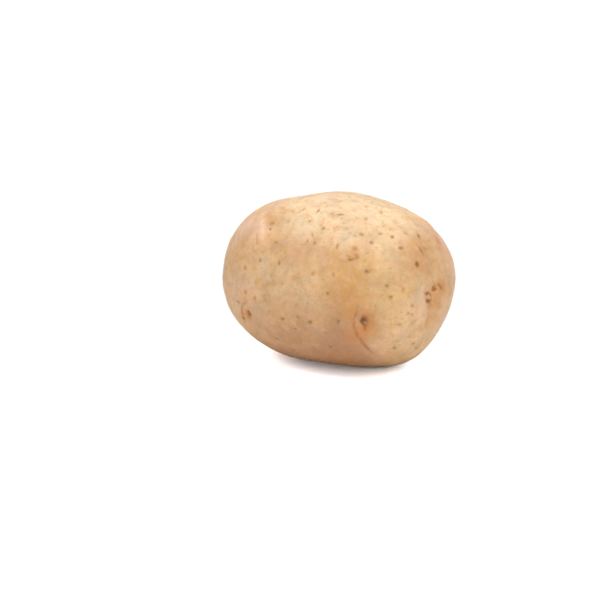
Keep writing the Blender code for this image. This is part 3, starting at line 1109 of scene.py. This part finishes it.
def skin_material():
    """Thin potato skin: golden, with rosy, ochre and pale patches, pores, pits and scars; some patches
    are painted shade low on the body, painted light on top and a painted highlight on the folds.
    """
    material = bpy.data.materials.new("potato_skin")
    tree = Tree(material)
    place = tree.node("ShaderNodeTexCoord", output="Object")
    noises = skin_noises(tree, place)
    speck = noises["speck"] - NOISE_MIDDLE
    grain = noises["grain"] - NOISE_MIDDLE
    ragged = RAGGED_BY_SPECK * speck + RAGGED_BY_GRAIN * grain
    dots = faint_dots(tree, place, noises["speck"])
    rim, core = lenticel_masks(tree, ragged)
    crease = crease_mask(tree, ragged)
    pit = tree.step(tree.field("pit") + PIT_RAGGED * ragged, *PIT_RANGE)

    colour = bare_skin_colour(tree, noises, dots)
    colour = tree.mix(rim * LENTICEL_RIM_SHARE, colour, OLIVE)
    colour = tree.mix(core * LENTICEL_CORE_SHARE, colour, UMBER)
    broken = crease * tree.step(noises["mottle"], *CREASE_GAPS)
    colour = tree.mix(broken * CREASE_SHARE, colour, CREASE_BROWN)
    tree.feed("Base Color", with_eyes(tree, noises["speck"], ragged, pit, colour))
    tree.feed("Roughness", SKIN_ROUGHNESS + ROUGHER * (noises["mottle"] + rim + pit))

    layers = {**noises, "core": core, "crease": crease, "dots": dots}
    height = sum(share * layers[name] for name, share in RELIEF.items())
    bump = {"Height": height, "Strength": BUMP_STRENGTH, "Distance": BUMP_DISTANCE}
    tree.feed("Normal", tree.node("ShaderNodeBump", {}, bump))

    tree.feed("Subsurface Weight", GLOW_WEIGHT)
    tree.feed("Subsurface Radius", GLOW_RADIUS)
    tree.feed("Subsurface Scale", GLOW_SCALE)
    tree.feed("Specular IOR Level", SKIN_SPECULAR)
    return material


def make_skin(camera):
    skin = wrapped_skin(camera)
    marks = Marks(skin, camera)
    mark_eyes(marks)
    mark_stolon_scar(marks)
    mark_lenticels(marks)
    mark_scars(marks)
    mark_folds_and_swells(marks)
    mark_tints(marks)
    ripple(skin)
    displace(skin, marks.rise)
    for name, values in marks.fields.items():
        field = skin.data.attributes.new(name, "FLOAT", "POINT")
        field.data.foreach_set("value", values.astype(np.float32))
    bpy.ops.object.shade_smooth()
    skin.data.materials.append(skin_material())
    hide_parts("potato")
    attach(skin, "root")


FLOOR_SIDE = 60.0
FLOOR_GAP = 0.1 * MM
FLOOR_WHITE = 0.88
# The photograph is exposed so that its white ground burns out, up to close round the potato. The
# camera sees a floor that is brighter than white up to the first distance from the potato's middle,
# and from the second one the same plain white as its background.
FLOOR_BURNT_OUT = (3.9, 4.6, 5.3, 1)
BACKGROUND_WHITE = 1.03
BURNT_OUT_TO = 27 * MM
PLAIN_WHITE_FROM = 40 * MM
SKY_AT_HORIZON = 0.38
SKY_OVERHEAD = 0.8
# Soft box: its side, where it stands from the body's middle, to the picture's right, towards the
# camera and up, and its power in watts
BOX_SIDE = 0.7
BOX_RIGHT = 0.04
BOX_NEARER = 0.2
BOX_ABOVE = 0.8
BOX_POWER = 7.5


def make_floor():
    bpy.ops.mesh.primitive_plane_add(size=FLOOR_SIDE, location=(0, 0, -FLOOR_GAP))
    floor = bpy.context.active_object
    floor.name = "floor"
    material = bpy.data.materials.new("white_floor")
    tree = Tree(material)
    camera_ray = tree.node("ShaderNodeLightPath", output="Is Camera Ray")
    place = tree.node("ShaderNodeTexCoord", output="Object")
    away = tree.node("ShaderNodeVectorMath", {"operation": "LENGTH"}, {0: place}, output="Value")
    plain = tree.step(away, BURNT_OUT_TO, PLAIN_WHITE_FROM)
    white = (FLOOR_WHITE, FLOOR_WHITE, FLOOR_WHITE, 1)
    seen = tree.mix(plain, FLOOR_BURNT_OUT, (0, 0, 0, 1))
    tree.feed("Base Color", tree.mix(camera_ray, white, seen))
    tree.feed("Emission Color", tree.mix(camera_ray * plain, (0, 0, 0, 1), (1, 1, 1, 1)))
    tree.feed("Emission Strength", BACKGROUND_WHITE)
    tree.feed("Roughness", 1.0)
    tree.feed("Specular IOR Level", 0.0)
    floor.data.materials.append(material)


def make_light():
    data = bpy.data.lights.new("soft_box", "AREA")
    data.size = BOX_SIDE
    data.energy = BOX_POWER
    box = bpy.data.objects.new("soft_box", data)
    bpy.context.scene.collection.objects.link(box)
    towards_camera = Vector((BACK.x, BACK.y, 0)).normalized()
    beside = RIGHT * BOX_RIGHT + towards_camera * BOX_NEARER
    box.location = MIDDLE + beside + Vector((0, 0, BOX_ABOVE))
    box.rotation_euler = (box.location - MIDDLE).to_track_quat("Z", "Y").to_euler()


def make_sky():
    """White all round, brighter overhead."""
    world = bpy.data.worlds.new("white_studio")
    tree = Tree(world, "Background")
    way = tree.node("ShaderNodeTexCoord", output="Generated")
    height = tree.node("ShaderNodeSeparateXYZ", {}, {0: way}, output="Z")
    tree.feed("Color", (1, 1, 1, 1))
    strength = SKY_AT_HORIZON + (SKY_OVERHEAD - SKY_AT_HORIZON) * tree.step(height, 0.0, 1.0)
    camera_ray = tree.node("ShaderNodeLightPath", output="Is Camera Ray")
    tree.feed("Strength", strength + camera_ray * (BACKGROUND_WHITE - strength))
    bpy.context.scene.world = world
    bpy.context.scene.view_settings.view_transform = "Standard"


make_skin(add_camera())
make_floor()
make_light()
make_sky()
